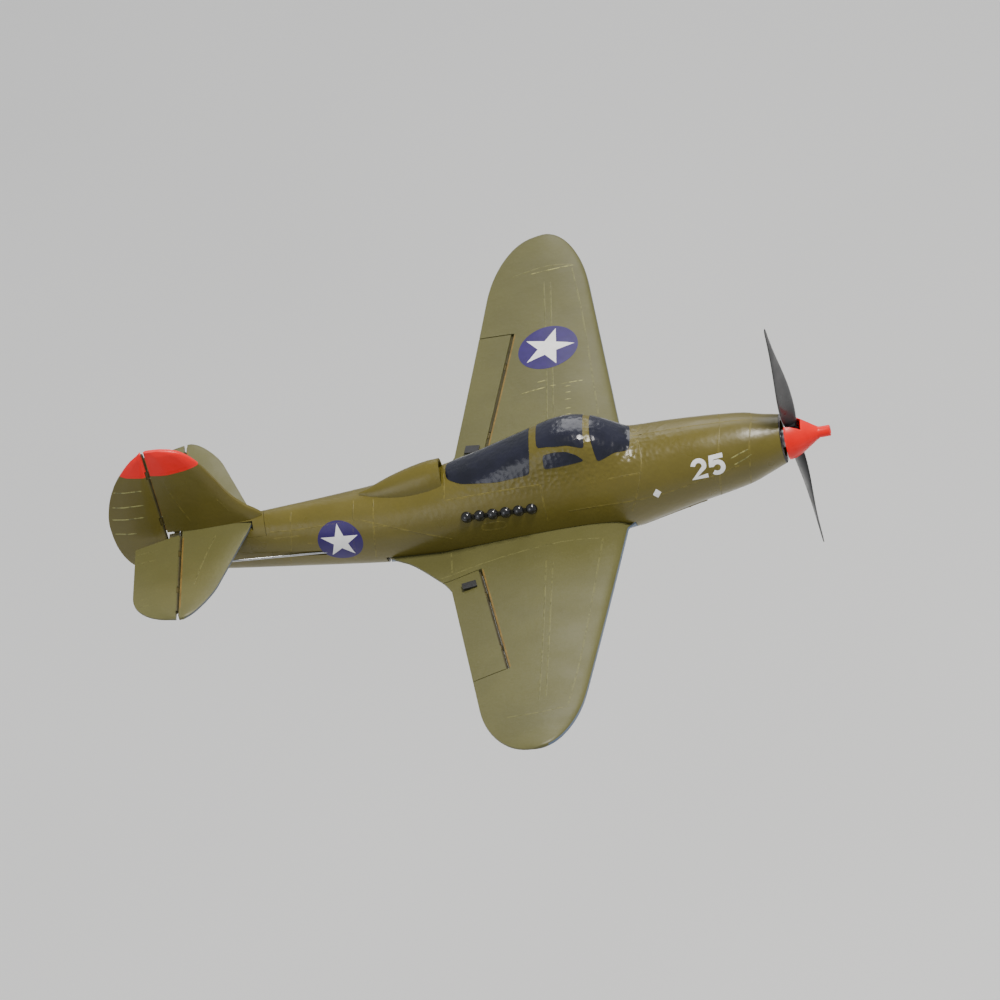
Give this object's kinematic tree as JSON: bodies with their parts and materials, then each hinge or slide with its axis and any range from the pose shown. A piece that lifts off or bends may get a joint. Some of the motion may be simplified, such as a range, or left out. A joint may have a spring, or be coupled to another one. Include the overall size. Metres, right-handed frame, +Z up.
{
  "type": "radio-controlled warbird aeroplane",
  "caption": "Small foam radio-controlled low-wing fighter with a tractor propeller, rounded tail and wing tips, working control surfaces with linkages, and no landing gear.",
  "frame": {"origin": "middle of the flat rest face under the wing's centre section", "axes": "+X to the nose along the propeller's axis, +Y to the port wing tip, +Z up"},
  "size_m": [0.3524, 0.4, 0.1398],
  "materials": {
    "fuselage_foam": "moulded foam beads, olive paint",
    "wing_foam": "moulded foam, grey-green paint",
    "carbon_rod": "pultruded carbon rod",
    "steel_wire": "drawn wire",
    "screw_steel": "plated",
    "hinge_nylon": "moulded nylon",
    "black_nylon": "moulded nylon",
    "servo_case": "moulded, slightly clear",
    "plywood": "light plywood",
    "motor_windings": "dark laminations",
    "motor_metal": "turned",
    "propeller_plastic": "moulded black",
    "spinner_paint": "red paint",
    "circuit_board": "solder mask",
    "battery_wrap": "shrink wrap",
    "strap_fabric": "hook and loop",
    "magnet_metal": "nickel plated",
    "exhaust_black": "gloss black paint"
  },
  "bodies": {
    "airframe": {"fuselage_left": "fuselage_foam", "fuselage_right": "fuselage_foam", "wing": "wing_foam", "wing_spars": "carbon_rod", "tail_fin": "fuselage_foam", "tailplane": "wing_foam", "aileron_hinges_left": "hinge_nylon", "aileron_hinges_right": "hinge_nylon", "elevator_hinges": "hinge_nylon", "rudder_hinges": "hinge_nylon", "aileron_pin_left": "steel_wire", "aileron_pin_right": "steel_wire", "rudder_pin": "steel_wire", "aileron_servo_left": "servo_case", "aileron_servo_right": "servo_case", "elevator_servo": "servo_case", "rudder_servo": "servo_case", "servo_tray": "plywood", "motor_mount": "plywood", "mount_screws": "screw_steel", "motor_stator": "motor_windings", "speed_controller": "circuit_board", "receiver": "circuit_board", "battery_tray": "plywood", "battery": "battery_wrap", "battery_strap": "strap_fabric", "exhaust_stacks_left": "exhaust_black", "exhaust_stacks_right": "exhaust_black"},
    "propeller_assembly": {"motor_bell": "motor_metal", "prop_adapter": "motor_metal", "propeller": "propeller_plastic", "spinner": "spinner_paint"},
    "aileron_left_body": {"aileron_left": "wing_foam", "aileron_horn_left": "black_nylon"},
    "aileron_right_body": {"aileron_right": "wing_foam", "aileron_horn_right": "black_nylon"},
    "elevator_body": {"elevator_left": "wing_foam", "elevator_right": "wing_foam", "elevator_joiner": "steel_wire", "elevator_horn": "black_nylon"},
    "rudder_body": {"rudder": "fuselage_foam", "rudder_horn": "black_nylon"},
    "aileron_left_arm_body": {"aileron_arm_left": "black_nylon", "arm_screw_aileron_left": "screw_steel"},
    "aileron_left_rod_body": {"aileron_pushrod_left": "steel_wire"},
    "aileron_right_arm_body": {"aileron_arm_right": "black_nylon", "arm_screw_aileron_right": "screw_steel"},
    "aileron_right_rod_body": {"aileron_pushrod_right": "steel_wire"},
    "elevator_arm_body": {"elevator_arm": "black_nylon", "arm_screw_elevator": "screw_steel"},
    "elevator_rod_body": {"elevator_pushrod": "steel_wire"},
    "rudder_arm_body": {"rudder_arm": "black_nylon", "arm_screw_rudder": "screw_steel"},
    "rudder_rod_body": {"rudder_pushrod": "steel_wire"},
    "battery_hatch_body": {"battery_hatch": "fuselage_foam", "hatch_magnets": "magnet_metal"}
  },
  "joints": [
    {"name": "propeller_spin", "type": "hinge", "parent": "airframe", "child": "propeller_assembly", "pos_m": [0.132, 0, 0.032], "axis": [1, 0, 0], "continuous": true},
    {"name": "aileron_left_hinge", "type": "hinge", "parent": "airframe", "child": "aileron_left_body", "pos_m": [-0.0266, 0.0408, 0.01401], "axis": [0.1803, 0.9797, 0.0872], "range_deg": [-18, 18]},
    {"name": "aileron_right_hinge", "type": "hinge", "parent": "airframe", "child": "aileron_right_body", "pos_m": [-0.0266, -0.0408, 0.01401], "axis": [-0.1803, 0.9797, -0.0872], "range_deg": [-18, 18]},
    {"name": "elevator_hinge", "type": "hinge", "parent": "airframe", "child": "elevator_body", "pos_m": [-0.17, 0, 0.0381], "axis": [0, 1, 0], "range_deg": [-20, 20]},
    {"name": "rudder_hinge", "type": "hinge", "parent": "airframe", "child": "rudder_body", "pos_m": [-0.1775, 0, 0.0274], "axis": [0, 0, 1], "range_deg": [-22, 22]},
    {"name": "aileron_left_arm_turn", "type": "hinge", "parent": "airframe", "child": "aileron_left_arm_body", "pos_m": [0.00792, 0.04605, 0.01441], "axis": [0.1803, 0.9797, 0.0872], "range_deg": [-18, 18]},
    {"name": "aileron_left_rod_turn", "type": "hinge", "parent": "aileron_left_arm_body", "child": "aileron_left_rod_body", "pos_m": [0.00806, 0.04682, 0.00544], "axis": [0.1803, 0.9797, 0.0872], "range_deg": [-18, 18]},
    {"name": "aileron_right_arm_turn", "type": "hinge", "parent": "airframe", "child": "aileron_right_arm_body", "pos_m": [0.00792, -0.04605, 0.01441], "axis": [-0.1803, 0.9797, -0.0872], "range_deg": [-18, 18]},
    {"name": "aileron_right_rod_turn", "type": "hinge", "parent": "aileron_right_arm_body", "child": "aileron_right_rod_body", "pos_m": [0.00806, -0.04682, 0.00544], "axis": [-0.1803, 0.9797, -0.0872], "range_deg": [-18, 18]},
    {"name": "elevator_arm_turn", "type": "hinge", "parent": "airframe", "child": "elevator_arm_body", "pos_m": [-0.062, 0.007, 0.031], "axis": [0, 1, 0], "range_deg": [-20, 20]},
    {"name": "elevator_rod_turn", "type": "hinge", "parent": "elevator_arm_body", "child": "elevator_rod_body", "pos_m": [-0.062, 0.0089, 0.021], "axis": [0, 1, 0], "range_deg": [-20, 20]},
    {"name": "rudder_arm_turn", "type": "hinge", "parent": "airframe", "child": "rudder_arm_body", "pos_m": [-0.03, -0.006, 0.0196], "axis": [0, 0, 1], "range_deg": [-22, 22]},
    {"name": "rudder_rod_turn", "type": "hinge", "parent": "rudder_arm_body", "child": "rudder_rod_body", "pos_m": [-0.03, -0.016, 0.0177], "axis": [0, 0, 1], "range_deg": [-22, 22]},
    {"name": "battery_hatch_lift", "type": "slide", "parent": "airframe", "child": "battery_hatch_body", "axis": [0, 0, -1], "range_m": [0, 0.03]}
  ],
  "couplings": [
    {"joint": "aileron_right_hinge", "follows": "aileron_left_hinge", "ratio": -1},
    {"joint": "aileron_left_arm_turn", "follows": "aileron_left_hinge", "ratio": 1},
    {"joint": "aileron_left_rod_turn", "follows": "aileron_left_hinge", "ratio": -1},
    {"joint": "aileron_right_arm_turn", "follows": "aileron_left_hinge", "ratio": -1},
    {"joint": "aileron_right_rod_turn", "follows": "aileron_left_hinge", "ratio": 1},
    {"joint": "elevator_arm_turn", "follows": "elevator_hinge", "ratio": 1},
    {"joint": "elevator_rod_turn", "follows": "elevator_hinge", "ratio": -1},
    {"joint": "rudder_arm_turn", "follows": "rudder_hinge", "ratio": 1},
    {"joint": "rudder_rod_turn", "follows": "rudder_hinge", "ratio": -1}
  ]
}
